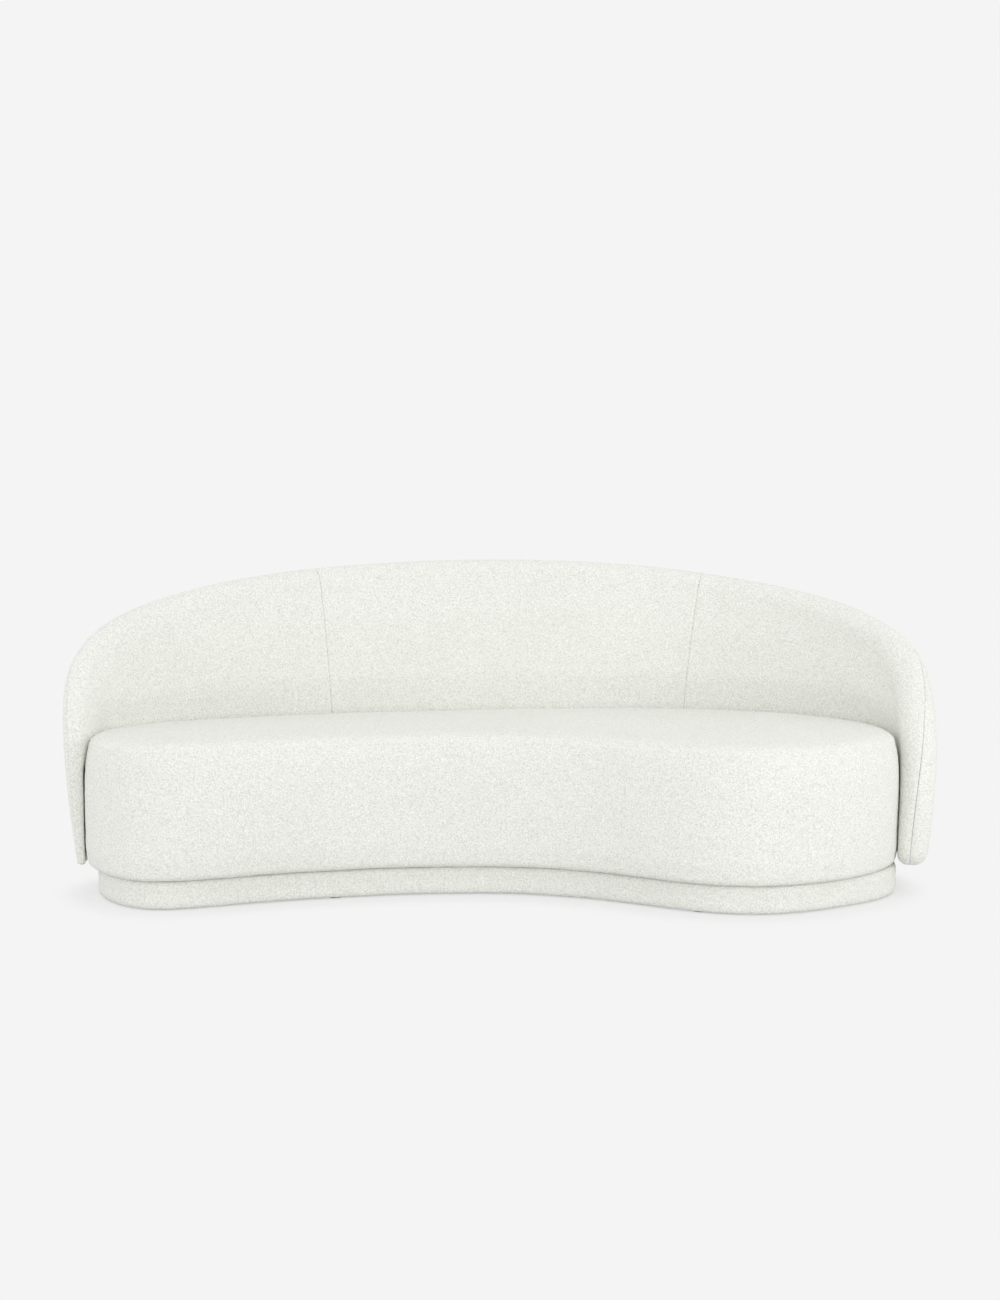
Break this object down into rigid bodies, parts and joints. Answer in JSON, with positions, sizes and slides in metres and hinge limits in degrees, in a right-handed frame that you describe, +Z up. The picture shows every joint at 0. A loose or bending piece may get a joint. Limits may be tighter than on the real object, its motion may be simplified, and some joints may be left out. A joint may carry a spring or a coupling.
{
  "type": "curved sofa",
  "caption": "Curved sofa with a kidney-shaped crowned seat on a low upholstered plinth, wrapped by one thick arched back that runs down into thin arms.",
  "frame": {"origin": "on the floor, at the middle of the sofa's outer box", "axes": "+X to the right as seen from the front, +Y to the back, +Z up"},
  "size_m": [2.297, 1.0464, 0.8361],
  "materials": {
    "boucle_plinth": "looped wool-blend cloth",
    "boucle_seat_side": "looped wool-blend cloth",
    "boucle_seat_top": "looped wool-blend cloth",
    "boucle_inner_back": "looped wool-blend cloth",
    "boucle_outer_back": "looped wool-blend cloth",
    "upholstery_foam": "open-cell foam",
    "wadding": "felted fibre",
    "timber": "plain plywood and hardwood",
    "steel": "plain steel",
    "webbing": "rubberised woven strap",
    "dust_lining": "thin black non-woven cloth",
    "glide_plastic": "moulded"
  },
  "bodies": {
    "root": {"plinth_cover": "boucle_plinth", "plinth_padding": "upholstery_foam", "plinth_ring": "timber", "plinth_top_board": "timber", "plinth_cross_rail_1": "timber", "plinth_cross_rail_2": "timber", "dust_cover": "dust_lining", "glide_1": "glide_plastic", "glide_2": "glide_plastic", "glide_3": "glide_plastic", "glide_4": "glide_plastic", "glide_5": "glide_plastic", "glide_6": "glide_plastic", "joining_strap_1": "steel", "joining_bolt_1": "steel", "back_bolt_1": "steel", "joining_strap_2": "steel", "joining_bolt_2": "steel", "back_bolt_2": "steel", "joining_strap_3": "steel", "joining_bolt_3": "steel", "back_bolt_3": "steel", "joining_strap_4": "steel", "joining_bolt_4": "steel", "back_bolt_4": "steel", "seat_side_cover": "boucle_seat_side", "seat_top_cover": "boucle_seat_top", "seat_topper": "wadding", "seat_foam_core": "upholstery_foam", "seat_side_foam": "upholstery_foam", "seat_base_board": "timber", "seat_perimeter_rail": "timber", "seat_cross_rail_1": "timber", "seat_cross_rail_2": "timber", "seat_spring_1": "steel", "seat_spring_2": "steel", "seat_spring_3": "steel", "seat_spring_4": "steel", "seat_spring_5": "steel", "seat_spring_6": "steel", "seat_insulator_pad": "wadding", "back_bottom_rail": "timber", "back_arch_rail": "timber", "back_rib_1": "timber", "back_rib_2": "timber", "back_rib_3": "timber", "back_rib_4": "timber", "back_rib_5": "timber", "back_webbing_1": "webbing", "back_webbing_2": "webbing", "back_webbing_3": "webbing", "back_webbing_4": "webbing", "inner_back_cover_left": "boucle_inner_back", "inner_back_foam_left": "upholstery_foam", "inner_back_cover_centre": "boucle_inner_back", "inner_back_foam_centre": "upholstery_foam", "inner_back_cover_right": "boucle_inner_back", "inner_back_foam_right": "upholstery_foam", "outer_back_cover": "boucle_outer_back", "outer_back_padding": "upholstery_foam"}
  },
  "joints": []
}
